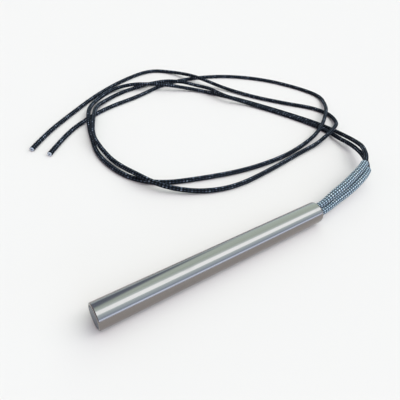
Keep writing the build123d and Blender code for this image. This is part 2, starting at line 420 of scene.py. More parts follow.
@dataclass(frozen=True)
class BraidFinish:
    """Glass-fibre braid on a tube whose UV map runs back from its cut end and once round it.

    Each strand passes over one strand of the other direction and under the next.

    Attributes:
        name: Name of the material.
        bright: Colour on top of the strands that run one way round.
        dark: Colour on top of those that run the other way.
        glint: Colour where a bright strand is palest, a painted glint.
        valley: Colour between the strands, painted shade in the gaps.
        cut: Colour of the fibres at the cut end.
        strands: Strands in each direction, round the tube.
        pitch: Length along the tube from one strand of a direction to the next.
        roughness: Roughness on top of the strands.
        relief: Height of the strands in the bump.
        sheen: Weight of the fibres' sheen.
        gloss: Specular level of the fibres.
        cut_width: How far the cut end's colour reaches.
        glint_share: Share of the crossings that carry a painted glint.
        fibres: Fibres across a strand.
        fibre_shade: How much a fibre is lighter on top, as a painted highlight.
        fibre_relief: Height of a fibre, as a share of its strand's.
        dip: How far a strand sinks where it dives, as a share of its height.
        shade_power: How steeply a strand darkens towards its edges, as painted shade.
        shade_base: Lightness of a strand where the clouds are thin.
        cloud_shade: Lightness that the clouds add.
        cloud_scale: Scale of the clouds, per metre.
        valley_roughness: Roughness that the valleys add.
        sheen_roughness: Roughness of the sheen.
        cut_base: Share of the cut end's colour that every strand has.
        strength: Strength of the bump.
    """

    name: str
    bright: Colour
    dark: Colour
    glint: Colour
    valley: Colour
    cut: Colour
    strands: int
    pitch: float
    roughness: float
    relief: float
    sheen: float
    gloss: float
    cut_width: float
    glint_share: float
    fibres: int = 6
    fibre_shade: float = 0.04
    fibre_relief: float = 0.06
    dip: float = 0.6
    shade_power: float = 1.6
    shade_base: float = 0.9
    cloud_shade: float = 0.8
    cloud_scale: float = 160.0
    valley_roughness: float = 0.3
    sheen_roughness: float = 0.4
    cut_base: float = 0.4
    strength: float = 0.8

    def build(self) -> bpy.types.Material:
        """Builds the material.

        Returns:
            The material.
        """
        graph = Graph(bpy.data.materials.new(self.name))
        uv = Value(graph, graph.node("ShaderNodeUVMap", {"uv_map": "braid"}).outputs["UV"])
        along, around, _ = graph.parts(uv)
        right, left = self.places(along, around)
        row, column = graph.math("FLOOR", right), graph.math("FLOOR", left)
        on_top = graph.math("FLOORED_MODULO", row + column, 2.0) < 0.5
        height = self.form(on_top, graph.math("FRACT", right), graph.math("FRACT", left))
        across = right * on_top + left * (1.0 - on_top)
        fibres = graph.math("SINE", across * (2.0 * math.pi * self.fibres))
        luck = graph.chance(row, column)
        clouds = graph.noise(graph.object_point(), self.cloud_scale)
        # Painted glint: random crossings of the bright strands turn pale, as if their fibres caught
        # the light.
        pale = graph.blend(graph.smooth(luck, 1.0 - self.glint_share, 1.0), self.bright, self.glint)
        top = graph.blend(on_top, self.dark, pale)
        # Painted shade: each strand darkens towards its edges into the valley colour between the
        # strands, and each fibre gets a painted highlight on top.
        lit = height**self.shade_power * (self.shade_base + clouds * self.cloud_shade)
        colour = graph.blend(lit + fibres * self.fibre_shade, self.valley, top)
        fresh = graph.smooth(along, self.cut_width, 0.0)
        frayed = fresh * (self.cut_base + luck * (1.0 - self.cut_base))
        relief = height + fibres * self.fibre_relief
        return graph.surface(
            {
                "Base Color": graph.blend(frayed, colour, self.cut),
                "Roughness": self.roughness + (1.0 - height) * self.valley_roughness,
                "Specular IOR Level": self.gloss,
                "Sheen Weight": self.sheen,
                "Sheen Roughness": self.sheen_roughness,
                "Normal": graph.bump(relief, self.relief, self.strength),
            }
        )

    def height(self, along: np.ndarray, around: np.ndarray) -> np.ndarray:
        """Works out the strands' height for the tube's mesh, as the shader does.

        Args:
            along: Length back from the cut end, in metres.
            around: Place round the tube, 0 to 1.

        Returns:
            The height, 0 between the strands and 1 on top.
        """
        right, left = self.places(along, around)
        on_top = np.mod(np.floor(right) + np.floor(left), 2.0) < 0.5
        return self.form(on_top, np.mod(right, 1.0), np.mod(left, 1.0))

    def places(self, along: Any, around: Any) -> tuple[Any, Any]:
        """Returns the places across both directions' strands, in strands, of sockets or arrays."""
        turns, run = around * self.strands, along / self.pitch
        return turns + run, turns - run

    def form(self, on_top: Any, right: Any, left: Any) -> Any:
        """Shapes the strand on top, for sockets or arrays.

        Args:
            on_top: 1 where the strand that runs to the right is on top.
            right: Place across that strand, 0 to 1.
            left: Place across the other strand.

        Returns:
            The height, 0 between the strands and 1 on top.
        """
        across_right, across_left = right * 2.0 - 1.0, left * 2.0 - 1.0
        crown_right = 1.0 - across_right * across_right
        crown_left = 1.0 - across_left * across_left
        crown = crown_left + (crown_right - crown_left) * on_top
        below = crown_right + crown_left - crown
        return crown * (1.0 - self.dip + below * self.dip)


@dataclass(frozen=True)
class MattFinish:
    """A matt or satin finish with a grain: ceramic, pressed powder, rubber, drawn metal.

    Attributes:
        name: Name of the material.
        light: Colour of the grain's light places.
        dark: Colour of its dark places.
        roughness: Roughness where the grain is thin.
        metallic: 1 for bare metal.
        grain: Scale of the grain, per metre.
        relief: Depth of the grain.
        patch_size: Size of the patches, in grains.
        patch_share: How much the patches count in the colour.
        grain_roughness: Roughness that the grain adds.
        strength: Strength of the bump.
    """

    name: str
    light: Colour
    dark: Colour
    roughness: float
    metallic: float = 0.0
    grain: float = 900.0
    relief: float = 0.02 * MM
    patch_size: float = 8.0
    patch_share: float = 0.4
    grain_roughness: float = 0.15
    strength: float = 0.4

    def build(self) -> bpy.types.Material:
        """Builds the material.

        Returns:
            The material.
        """
        graph = Graph(bpy.data.materials.new(self.name))
        grain = graph.noise(graph.object_point(), self.grain, detail=4.0)
        patches = graph.noise(graph.object_point(), self.grain / self.patch_size, detail=2.0)
        mottle = grain * (1.0 - self.patch_share) + patches * self.patch_share
        return graph.surface(
            {
                "Base Color": graph.blend(mottle, self.dark, self.light),
                "Metallic": self.metallic,
                "Roughness": self.roughness + grain * self.grain_roughness,
                "Normal": graph.bump(grain, self.relief, self.strength),
            }
        )


def dress(nodes: Iterable[str], material: bpy.types.Material) -> None:
    """Gives carried-over CAD nodes a material.

    Args:
        nodes: Names of the nodes.
        material: Their new material.
    """
    for name in nodes:
        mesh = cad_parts[name].data
        mesh.materials.clear()
        mesh.materials.append(material)


def stand_for(piece: bpy.types.Object, node: str) -> bpy.types.Object:
    """Makes a finished piece stand for a CAD node and ride with the heater.

    Args:
        piece: The finished piece.
        node: The node that it replaces.

    Returns:
        The piece.
    """
    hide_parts(node)
    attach(piece, BODY)
    log.info("%s stands for %s, %d faces", piece.name, node, len(piece.data.polygons))
    return piece


class Pick(Enum):
    """What an edit-mode selection is made of."""

    FACES = "FACE"
    EDGES = "EDGE"


def pick(kind: Pick, test: Callable[[Vector], bool]) -> None:
    """Selects the faces or edges in edit mode whose corners all pass a test.

    Args:
        kind: Faces or edges.
        test: Says of a corner's place whether it counts.
    """
    bpy.ops.mesh.select_mode(type=kind.value)
    bpy.ops.mesh.select_all(action="DESELECT")
    mesh = bpy.context.edit_object.data
    shape = bmesh.from_edit_mesh(mesh)
    for item in shape.faces if kind is Pick.FACES else shape.edges:
        if all(test(vert.co) for vert in item.verts):
            item.select_set(True)
    bmesh.update_edit_mesh(mesh)


def bevel_edges(test: Callable[[Vector], bool], width: float, steps: int) -> None:
    """Bevels the edges in edit mode whose corners all pass a test.

    Args:
        test: Says of a corner's place whether it counts.
        width: Width of the bevel.
        steps: Facets across it.
    """
    pick(Pick.EDGES, test)
    bpy.ops.mesh.bevel(offset=width, segments=steps, affect="EDGES")


def open_hole(test: Callable[[Vector], bool], rim: float) -> None:
    """Opens the faces in edit mode whose corners all pass a test, up to a rim.

    Args:
        test: Says of a corner's place whether it counts.
        rim: Width of the rim that stays.
    """
    pick(Pick.FACES, test)
    bpy.ops.mesh.inset(thickness=rim)
    bpy.ops.mesh.delete(type="ONLY_FACE")


def start_rod(name: str, radius: float, start: Vector, end: Vector, sides: int) -> bpy.types.Object:
    """Adds a rod at its size and place and opens it in edit mode.

    Args:
        name: Name of the piece.
        radius: Its radius.
        start: Middle of one end.
        end: Middle of the other end.
        sides: How many sides it has.

    Returns:
        The rod, in edit mode.
    """
    bpy.ops.object.select_all(action="DESELECT")
    span = end - start
    bpy.ops.mesh.primitive_cylinder_add(
        vertices=sides,
        radius=radius,
        depth=span.length,
        end_fill_type="NGON",
        location=(start + end) / 2,
        rotation=span.to_track_quat("Z", "Y").to_euler(),
    )
    bpy.ops.object.transform_apply(location=True, rotation=True, scale=True)
    rod = bpy.context.active_object
    rod.name = name
    bpy.ops.object.mode_set(mode="EDIT")
    return rod


def bridge_rims() -> None:
    """Joins the two open rims of the mesh in edit mode by a wall."""
    bpy.ops.mesh.select_mode(type="EDGE")
    bpy.ops.mesh.select_non_manifold(
        extend=False, use_wire=False, use_multi_face=False, use_non_contiguous=False, use_verts=False
    )
    bpy.ops.mesh.bridge_edge_loops()


def close_piece(material: bpy.types.Material, sharp_degrees: float = 30.0) -> bpy.types.Object:
    """Turns all faces of the mesh in edit mode outwards, leaves that mode and dresses it.

    Args:
        material: The finish.
        sharp_degrees: Angle past which an edge is drawn sharp.

    Returns:
        The finished piece.
    """
    bpy.ops.mesh.select_mode(type="FACE")
    bpy.ops.mesh.select_all(action="SELECT")
    bpy.ops.mesh.normals_make_consistent(inside=False)
    bpy.ops.object.mode_set(mode="OBJECT")
    bpy.ops.object.shade_smooth_by_angle(angle=math.radians(sharp_degrees))
    piece = bpy.context.active_object
    piece.data.materials.append(material)
    return piece


@dataclass
class Sheath:
    """The drawn tube: chamfered at its closed end, rolled in to a lip at its mouth.

    Attributes:
        low: Lowest corner of the CAD tube's box.
        high: Its highest corner.
        wall: Thickness of the tube.
        chamfer: Width of the broken edge at the closed end.
        chamfer_steps: Facets across that edge.
        roll: Radius of the rolled shoulder.
        roll_steps: Facets over the shoulder.
        sides: Sides of the tube.
    """

    low: Vector
    high: Vector
    wall: float = 1.0 * MM
    chamfer: float = 0.5 * MM
    chamfer_steps: int = 3
    roll: float = 2.2 * MM
    roll_steps: int = 14
    sides: int = 160

    def build(self, steel: bpy.types.Material) -> bpy.types.Object:
        """Makes the tube.

        Args:
            steel: Its finish.

        Returns:
            The finished tube.
        """
        radius = (self.high.z - self.low.z) / 2
        height = (self.high.z + self.low.z) / 2
        closed, mouth = self.low.x, self.high.x
        ends = Vector((closed, 0.0, height)), Vector((mouth, 0.0, height))
        start_rod("turned_sheath", radius, *ends, self.sides)
        bevel_edges(lambda p: p.x < closed + NEAR, self.chamfer, self.chamfer_steps)
        bevel_edges(lambda p: p.x > mouth - NEAR, self.roll, self.roll_steps)
        self.roll_in_lip(mouth, height, radius)
        open_hole(lambda p: p.x < closed + NEAR, self.wall - self.chamfer)
        bridge_rims()
        return stand_for(close_piece(steel), "sheath")

    def roll_in_lip(self, mouth: float, height: float, radius: float) -> None:
        """Sinks the mouth through the lip and widens it to the tube's bore.

        Args:
            mouth: Place of the mouth along X.
            height: Height of the axis.
            radius: Outer radius of the tube.
        """
        pick(Pick.FACES, lambda p: p.x > mouth - NEAR)
        bpy.ops.mesh.extrude_region_move(TRANSFORM_OT_translate={"value": (-self.wall, 0.0, 0.0)})
        shoulder = self.roll - self.wall
        bpy.ops.mesh.extrude_region_move(TRANSFORM_OT_translate={"value": (-shoulder, 0.0, 0.0)})
        widen = (radius - self.wall) / (radius - self.roll)
        bpy.ops.transform.resize(
            value=(1.0, widen, widen), center_override=(mouth - self.roll, 0.0, height)
        )
        bpy.ops.mesh.delete(type="ONLY_FACE")


@dataclass
class CutEnd:
    """What shows in a lead's cut end: a stranded conductor in its pale insulation.

    Attributes:
        seat: How far both pieces reach back into the lead.
        strand_radius: Radius of a strand.
        strand_pitch: Distance from strand to strand.
        strand_proud: How far the strands stand out.
        strand_round: Rounding of a strand's tip, as a share of its radius.
        strand_sides: Sides of a strand.
        strand_cuts: Stretches in which a strand follows the twist.
        outer_strands: Strands round the middle one.
        twist: Turn of the strands over their length, in degrees.
        insulation_radius: Outer radius of the insulation.
        hole_radius: Radius of its hole.
        insulation_proud: How far the insulation stands out.
        insulation_round: Rounding of its outer edge.
        insulation_sides: Sides of the insulation.
        rough: How unevenly it is cut.
        rough_seed: Seed of that unevenness.
        soft_degrees: Angle past which an edge of the insulation is drawn sharp.
    """

    seat: float = 3.0 * MM
    strand_radius: float = 0.195 * MM
    strand_pitch: float = 0.4 * MM
    strand_proud: float = 0.5 * MM
    strand_round: float = 0.4
    strand_sides: int = 12
    strand_cuts: int = 6
    outer_strands: int = 6
    twist: float = 55.0
    insulation_radius: float = 1.38 * MM
    hole_radius: float = 0.62 * MM
    insulation_proud: float = 0.2 * MM
    insulation_round: float = 0.12 * MM
    insulation_sides: int = 40
    rough: float = 0.03 * MM
    rough_seed: int = 4
    soft_degrees: float = 50.0

    def model_strands(self, metal: bpy.types.Material) -> bpy.types.Object:
        """Makes the twisted bundle, standing on Z with the cut at the origin.

        Args:
            metal: Its finish.

        Returns:
            The bundle.
        """
        start, end = Vector((0.0, 0.0, -self.seat)), Vector((0.0, 0.0, self.strand_proud))
        start_rod("strands", self.strand_radius, start, end, self.strand_sides)
        tip_round = self.strand_radius * self.strand_round
        bevel_edges(lambda p: p.z > self.strand_proud - NEAR, tip_round, steps=2)
        for number in range(1, self.strand_cuts):
            bpy.ops.mesh.select_all(action="SELECT")
            level = -self.seat + (self.seat + self.strand_proud) * number / self.strand_cuts
            bpy.ops.mesh.bisect(plane_co=(0.0, 0.0, level), plane_no=(0.0, 0.0, 1.0))
        for number in range(self.outer_strands):
            turn = 2.0 * math.pi * number / self.outer_strands
            place = (self.strand_pitch * math.cos(turn), self.strand_pitch * math.sin(turn), 0.0)
            pick(Pick.FACES, lambda p: math.hypot(p.x, p.y) < self.strand_radius + NEAR)
            bpy.ops.mesh.duplicate()
            bpy.ops.transform.translate(value=place)
        bundle = close_piece(metal)
        twist = bundle.modifiers.new("twist", "SIMPLE_DEFORM")
        twist.deform_method = "TWIST"
        twist.deform_axis = "Z"
        twist.angle = math.radians(self.twist)
        bpy.ops.object.modifier_apply(modifier=twist.name)
        return bundle

    def model_insulation(self, pale: bpy.types.Material) -> bpy.types.Object:
        """Makes the insulation, standing on Z with the cut at the origin.

        Args:
            pale: Its finish.

        Returns:
            The insulation.
        """
        start, end = Vector((0.0, 0.0, -self.seat)), Vector((0.0, 0.0, self.insulation_proud))
        start_rod("insulation", self.insulation_radius, start, end, self.insulation_sides)
        bevel_edges(lambda p: p.z > self.insulation_proud - NEAR, self.insulation_round, steps=3)
        flat = self.insulation_radius - self.insulation_round
        open_hole(lambda p: p.z > self.insulation_proud - NEAR, flat - self.hole_radius)
        open_hole(lambda p: p.z < NEAR - self.seat, self.insulation_radius - self.hole_radius)
        bridge_rims()
        pick(Pick.EDGES, lambda p: p.z > 0.0)
        bpy.ops.transform.vertex_random(offset=self.rough, seed=self.rough_seed)
        return close_piece(pale, self.soft_degrees)

    def place(self, model: bpy.types.Object, name: str, tip: Vector, out: Vector) -> bpy.types.Object:
        """Copies a modelled piece into a lead's cut end.

        Args:
            model: The piece that was modelled once.
            name: Name of the copy.
            tip: Middle of the cut end.
            out: Direction that the cut end faces.

        Returns:
            The copy.
        """
        bpy.ops.object.select_all(action="DESELECT")
        model.select_set(True)
        bpy.context.view_layer.objects.active = model
        bpy.ops.object.duplicate()
        piece = bpy.context.active_object
        piece.name = name
        turn = out.to_track_quat("Z", "Y").to_matrix().to_4x4()
        piece.matrix_world = Matrix.Translation(tip) @ turn
        bpy.ops.object.transform_apply(location=True, rotation=True, scale=True)
        return piece


@dataclass
class Line:
    """A smooth line in space with a frame at each point that doesn't twist.

    Attributes:
        points: Its points, evenly spaced.
        side: A unit vector across the line at each point.
        up: The other unit vector across the line.
        along: Length from its start at each point.
    """

    points: np.ndarray
    side: np.ndarray
    up: np.ndarray
    along: np.ndarray

    @classmethod
    def through(cls, points: np.ndarray, spacing: float) -> "Line":
        """Makes the line through points, spaced evenly.

        Args:
            points: Points of the line, close together.
            spacing: About how far apart the new points are.

        Returns:
            The line.
        """
        steps = np.linalg.norm(np.diff(points, axis=0), axis=1)
        reached = np.concatenate([[0.0], np.cumsum(steps)])
        along = np.linspace(0.0, reached[-1], round(reached[-1] / spacing) + 1)
        even = np.stack([np.interp(along, reached, points[:, k]) for k in range(3)], axis=1)
        tangent = np.gradient(even, axis=0)
        tangent /= np.linalg.norm(tangent, axis=1)[:, None]
        side = np.zeros_like(even)
        side[0] = np.cross(tangent[0], (0.0, 0.0, 1.0))
        side[0] /= np.linalg.norm(side[0])
        for i in range(1, len(even)):
            side[i] = side[i - 1] - tangent[i] * side[i - 1].dot(tangent[i])
            side[i] /= np.linalg.norm(side[i])
        return cls(even, side, np.cross(side, tangent), along)

    def ring(self, index: int, radius: Any, sides: int, shift: Any = 0.0) -> np.ndarray:
        """Lays a ring round the line.

        Args:
            index: Number of the line's point.
            radius: Radius at each side, or one for all.
            sides: How many points the ring has.
            shift: How far each point is moved along the line, or one for all.

        Returns:
            The ring's points.
        """
        turn = np.arange(sides) * (2.0 * math.pi / sides)
        across = np.outer(np.cos(turn), self.side[index]) + np.outer(np.sin(turn), self.up[index])
        ahead = np.cross(self.up[index], self.side[index])
        shifts = np.broadcast_to(shift, (sides,))[:, None] * ahead[None, :]
        return self.points[index] + across * np.broadcast_to(radius, (sides,))[:, None] + shifts

    def piece_of(self, length: float, spacing: float) -> "Line":
        """Cuts off the line's first stretch and spaces it anew.

        Args:
            length: Length of the stretch.
            spacing: About how far apart its points are.

        Returns:
            The stretch.
        """
        count = int(np.searchsorted(self.along, length)) + 2
        first = Line.through(self.points[:count], spacing)
        kept = first.along <= length
        return Line(first.points[kept], first.side[kept], first.up[kept], first.along[kept])


def route_line(name: str, corners: Sequence[Point], spacing: float) -> Line:
    """Makes the smooth line that a lead's corner points steer.

    Args:
        name: Name of the lead.
        corners: The control points of its spline, in metres.
        spacing: About how far apart the line's points are.

    Returns:
        The line.
    """
    curve = bpy.data.curves.new(f"{name}_route", "CURVE")
    curve.dimensions = "3D"
    spline = curve.splines.new("NURBS")
    spline.points.add(len(corners) - 1)
    for point, corner in zip(spline.points, corners):
        point.co = (*corner, 1.0)
    spline.order_u = 3
    spline.use_endpoint_u = True
    spline.resolution_u = ROUTE_STEPS
    holder = bpy.data.objects.new(curve.name, curve)
    bpy.context.scene.collection.objects.link(holder)
    bpy.context.view_layer.update()
    mesh = bpy.data.meshes.new_from_object(holder)
    points = np.zeros(len(mesh.vertices) * 3)
    mesh.vertices.foreach_get("co", points)
    bpy.data.objects.remove(holder)
    bpy.data.curves.remove(curve)
    bpy.data.meshes.remove(mesh)
    return Line.through(points.reshape(-1, 3), spacing)


def tube_piece(
    name: str,
    rings: list[np.ndarray],
    along: Sequence[float],
    closed: bool,
    material: bpy.types.Material,
) -> bpy.types.Object:
    """Skins a piece over rings, with the UV map that the braids read.

    Args:
        name: Name of the piece.
        rings: The rings' points, all of the same number.
        along: Length back from the cut end at each ring.
        closed: Whether the last ring joins the first; if not, both ends are capped.
        material: Its finish.

    Returns:
        The piece.
    """
    sides, count = len(rings[0]), len(rings)
    points = np.concatenate(rings)
    spans = count if closed else count - 1
    total = count * sides
    starts, corner = np.arange(spans)[:, None] * sides, np.arange(sides)[None, :]
    first, turned = (starts + corner).ravel(), (starts + (corner + 1) % sides).ravel()
    quads = np.stack([first, turned, (turned + sides) % total, (first + sides) % total], axis=1)
    faces = quads.tolist()
    if not closed:
        faces.append(list(range(sides))[::-1])
        faces.append(list(range(total - sides, total)))
    mesh = bpy.data.meshes.new(name)
    mesh.from_pydata(points.tolist(), [], faces)
    around = np.arange(sides) / sides
    u = np.array(along)
    low, high = np.repeat(u[:spans], sides), np.repeat(np.roll(u, -1)[:spans], sides)
    near, far = np.tile(around, spans), np.tile(around + 1.0 / sides, spans)
    corners = np.stack([low, near, low, far, high, far, high, near], axis=1).ravel()
    if not closed:
        corners = np.concatenate([corners, np.zeros(4 * sides)])
    layer = mesh.uv_layers.new(name="braid")
    layer.data.foreach_set("uv", corners)
    mesh.polygons.foreach_set("use_smooth", np.ones(len(mesh.polygons), dtype=bool))
    mesh.update()
    mesh.materials.append(material)
    piece = bpy.data.objects.new(name, mesh)
    bpy.context.scene.collection.objects.link(piece)
    return piece


@dataclass
class Sleeve:
    """A braided sleeve: pinched in the mouth, wider outside, cut off at its far end.

    Attributes:
        side: Letter of its lead.
        length: Its length along the lead.
        neck: Outer radius in the mouth.
        body: Outer radius outside.
        bore: Radius inside.
        cone_start: Length at which it starts to widen.
        cone_end: Length at which it has its full width.
        end_round: Radius of its cut edge.
        relief: How far the strands stand out.
        spacing: Distance between its rings of points.
        sides: Points of a ring.
    """

    side: str
    length: float
    neck: float = 1.95 * MM
    body: float = 2.6 * MM
    bore: float = 1.7 * MM
    cone_start: float = 8.0 * MM
    cone_end: float = 34.0 * MM
    end_round: float = 0.35 * MM
    relief: float = 0.2 * MM
    spacing: float = 0.22 * MM
    sides: int = 72

    def build(
        self, lead_line: Line, braid: BraidFinish, material: bpy.types.Material
    ) -> bpy.types.Object:
        """Makes the sleeve.

        Args:
            lead_line: The line of its lead.
            braid: The braid's form.
            material: The braid's finish.

        Returns:
            The finished sleeve.
        """
        line = lead_line.piece_of(self.length, self.spacing)
        back = line.along[-1] - line.along
        around = np.arange(self.sides) / self.sides
        widen = np.clip((line.along - self.cone_start) / (self.cone_end - self.cone_start), 0.0, 1.0)
        widen = widen * widen * (3.0 - 2.0 * widen)
        outer = self.neck + (self.body - self.neck) * widen
        into_edge = np.clip(1.0 - back / self.end_round, 0.0, 1.0)
        outer -= self.end_round * (1.0 - np.sqrt(1.0 - into_edge**2))
        rings = []
        for i, radius in enumerate(outer):
            height = braid.height(np.full(self.sides, back[i]), around)
            rings.append(line.ring(i, radius - self.relief * (1.0 - height), self.sides))
        rings += [line.ring(i, self.bore, self.sides) for i in range(len(outer))[::-1]]
        along = np.concatenate([back, back[::-1]])
        piece = tube_piece(f"sleeve_{self.side}_braid", rings, along, True, material)
        return stand_for(piece, f"sleeve_{self.side}")


@dataclass
class Lead:
    """A braided lead, from its seat in the mouth to its cut end.

    Attributes:
        side: Letter of the lead, as in its nodes' names.
        length: Its real length; not used.
        diameter: Diameter over the braid.
        relief: How far the strands stand out.
        end_wall: Thickness of the braid at the cut end.
        end_depth: Depth of the seat of the insulation in the cut end.
        fray: How unevenly the braid's strands are cut.
        fray_waves: Waves of that unevenness round the lead, of two kinds.
        spacing: Distance between its rings of points.
        sides: Points of a ring.
    """

    side: str
    length: float
    diameter: float = 3.2 * MM
    relief: float = 0.09 * MM
    end_wall: float = 0.2 * MM
    end_depth: float = 3.0 * MM
    fray: float = 0.12 * MM
    fray_waves: tuple[float, float] = (5.0, 3.0)
    spacing: float = 0.36 * MM
    sides: int = 24

    def build(self, line: Line, braid: BraidFinish, material: bpy.types.Material) -> bpy.types.Object:
        """Makes the lead, hollowed at its cut end for the insulation.

        Args:
            line: The lead's line.
            braid: The braid's form.
            material: The braid's finish.

        Returns:
            The finished lead.
        """
        around = np.arange(self.sides) / self.sides
        crown = self.diameter / 2
        back = line.along[-1] - line.along
        last = len(line.points) - 1
        turn = around * 2.0 * math.pi
        first_wave, second_wave = self.fray_waves
        uneven = self.fray * np.sin(turn * first_wave) * np.cos(turn * second_wave)
        rings = []
        for i in range(last + 1):
            height = braid.height(np.full(self.sides, back[i]), around)
            shift = uneven if i == last else 0.0
            rings.append(line.ring(i, crown - self.relief * (1.0 - height), self.sides, shift))
        inner = crown - self.end_wall
        bottom = last - round(self.end_depth / self.spacing)
        rings.append(line.ring(last, inner, self.sides, uneven))
        rings.append(line.ring(bottom, inner, self.sides))
        along = np.concatenate([back, [0.0, back[bottom]]])
        piece = tube_piece(f"lead_{self.side}_braid", rings, along, False, material)
        return stand_for(piece, f"lead_{self.side}")

    def declare(
        self, line: Line
    ) -> None:
        """Args:
            line: Its line.
        """
        log.info("lead %s: %.3f m along its line", self.side, line.along[-1])


@dataclass(frozen=True)
class Camera:
    """The photograph's camera, as fitted to the sheath and the floor.

    Attributes:
        place: Where it stands.
        heading: Degrees from +Y towards +X.
        pitch: Degrees that it looks down.
        roll: Degrees that its right side is raised.
        lens: Focal length in mm on the sensor.
        sensor: Width of the sensor in mm.
        nearest: Distance at which it starts to see.
        farthest: Distance at which it stops.
    """

    place: Point = (-90.21 * MM, -90.96 * MM, 142.51 * MM)
    heading: float = 38.11
    pitch: float = 38.98
    roll: float = 5.947
    lens: float = 33.56
    sensor: float = 36.0
    nearest: float = 1.0 * MM
    farthest: float = 20.0

    def build(self) -> None:
        """Adds the camera and makes it the scene's."""
        data = bpy.data.cameras.new("camera")
        data.sensor_width = self.sensor
        data.lens = self.lens
        data.clip_start = self.nearest
        data.clip_end = self.farthest
        camera = bpy.data.objects.new("camera", data)
        bpy.context.scene.collection.objects.link(camera)
        turn = (
            Matrix.Rotation(math.radians(-self.heading), 4, "Z")
            @ Matrix.Rotation(math.radians(90.0 - self.pitch), 4, "X")
            @ Matrix.Rotation(math.radians(self.roll), 4, "Z")
        )
        camera.matrix_world = Matrix.Translation(self.place) @ turn
        bpy.context.scene.camera = camera


@dataclass(frozen=True)
class Studio:
    """The pale floor and the soft light of the room round it.

    A direction's climb is its angle from the far horizon over the top, 0 to 1 for half a turn.
    Its x is its share along the rod, from -1 towards the closed end to 1 towards the mouth.
    Each fade says where a mask is 0 and where it is 1.

    Attributes:
        floor_colour: Colour of the floor.
        floor_size: Width of the floor.
        bands: Light of the room by the climb, in degrees.
        dim_colour: Light of the room's two ends, along the rod.
        closed_fade: Fade over x from the dim end beyond the closed end.
        mouth_fade: Fade over x from the dim end beyond the mouth.
        card_colour: Light of the dark card that stands low on the far side.
        card_top: Climb of the card's upper edge at the middle of the room.
        card_slope: Fall of that edge with x.
        card_top_fade: Fade over the climb above that edge, from the card to the room.
        card_foot_fade: Fade over the climb at the card's foot.
        card_side_fade: Fade over x at the card's end beyond the mouth.
    """

    floor_colour: Colour = (0.83, 0.735, 0.695)
    floor_size: float = 6.0
    bands: tuple[tuple[float, Colour], ...] = (
        (0.0, (1.01, 1.24, 1.40)),
        (12.0, (1.11, 1.35, 1.42)),
        (20.0, (1.36, 1.66, 1.61)),
        (60.0, (1.32, 1.63, 1.51)),
        (76.0, (1.23, 1.50, 1.40)),
        (88.0, (1.44, 1.74, 1.75)),
        (95.0, (1.70, 2.03, 2.10)),
        (99.0, (3.08, 3.38, 3.56)),
        (124.0, (3.08, 3.38, 3.56)),
        (129.0, (1.38, 1.69, 1.80)),
        (150.0, (1.01, 1.24, 1.46)),
        (161.0, (0.63, 0.81, 1.10)),
        (165.0, (1.96, 2.31, 2.91)),
        (172.0, (1.96, 2.31, 2.91)),
        (176.0, (1.01, 1.07, 1.28)),
        (180.0, (0.90, 0.92, 1.01)),
    )
    dim_colour: Colour = (0.36, 0.34, 0.40)
    closed_fade: Fade = (-0.32, -0.1)
    mouth_fade: Fade = (0.95, 0.78)
    card_colour: Colour = (0.38, 0.46, 0.6)
    card_top: float = 0.335
    card_slope: float = 0.5
    card_top_fade: Fade = (-0.07, 0.06)
    card_foot_fade: Fade = (0.07, 0.1)
    card_side_fade: Fade = (0.6, 0.38)

    def build(self) -> None:
        """Makes the studio."""
        self.build_floor()
        self.build_world()
        bpy.context.scene.view_settings.view_transform = "Standard"

    def build_floor(self) -> None:
        """Lays the floor."""
        bpy.ops.object.select_all(action="DESELECT")
        bpy.ops.mesh.primitive_plane_add(size=self.floor_size, location=(0.0, 0.0, 0.0))
        floor = bpy.context.active_object
        floor.name = "floor"
        material = Graph(bpy.data.materials.new("pale_floor")).surface(
            {"Base Color": opaque(self.floor_colour), "Roughness": 1.0, "Specular IOR Level": 0.0}
        )
        floor.data.materials.append(material)

    def build_world(self) -> None:
        """Lights the room: soft bands over the heater, dim ends, and a dark card low behind it."""
        world = bpy.data.worlds.new("room")
        graph = Graph(world)
        direction = Value(graph, graph.node("ShaderNodeTexCoord").outputs["Generated"])
        x, y, z = graph.parts(direction)
        climb = graph.math("ARCTAN2", z, y) / math.pi
        stops = [(angle / 180.0, colour) for angle, colour in self.bands]
        ramp = graph.node("ShaderNodeValToRGB", {"stops": stops}, {"Fac": climb})
        bright = graph.smooth(x, *self.closed_fade) * graph.smooth(x, *self.mouth_fade)
        lit = graph.blend(bright, self.dim_colour, Value(graph, ramp.outputs["Color"]))
        card_top = self.card_top - x * self.card_slope
        over_card = graph.smooth(climb - card_top, *self.card_top_fade)
        foot, side = graph.smooth(climb, *self.card_foot_fade), graph.smooth(x, *self.card_side_fade)
        card = (1.0 - over_card) * foot * side * bright
        background = graph.node(
            "ShaderNodeBackground", None, {"Color": graph.blend(card, lit, self.card_colour)}
        )
        graph.node("ShaderNodeOutputWorld", None, {"Surface": background.outputs["Background"]})
        bpy.context.scene.world = world


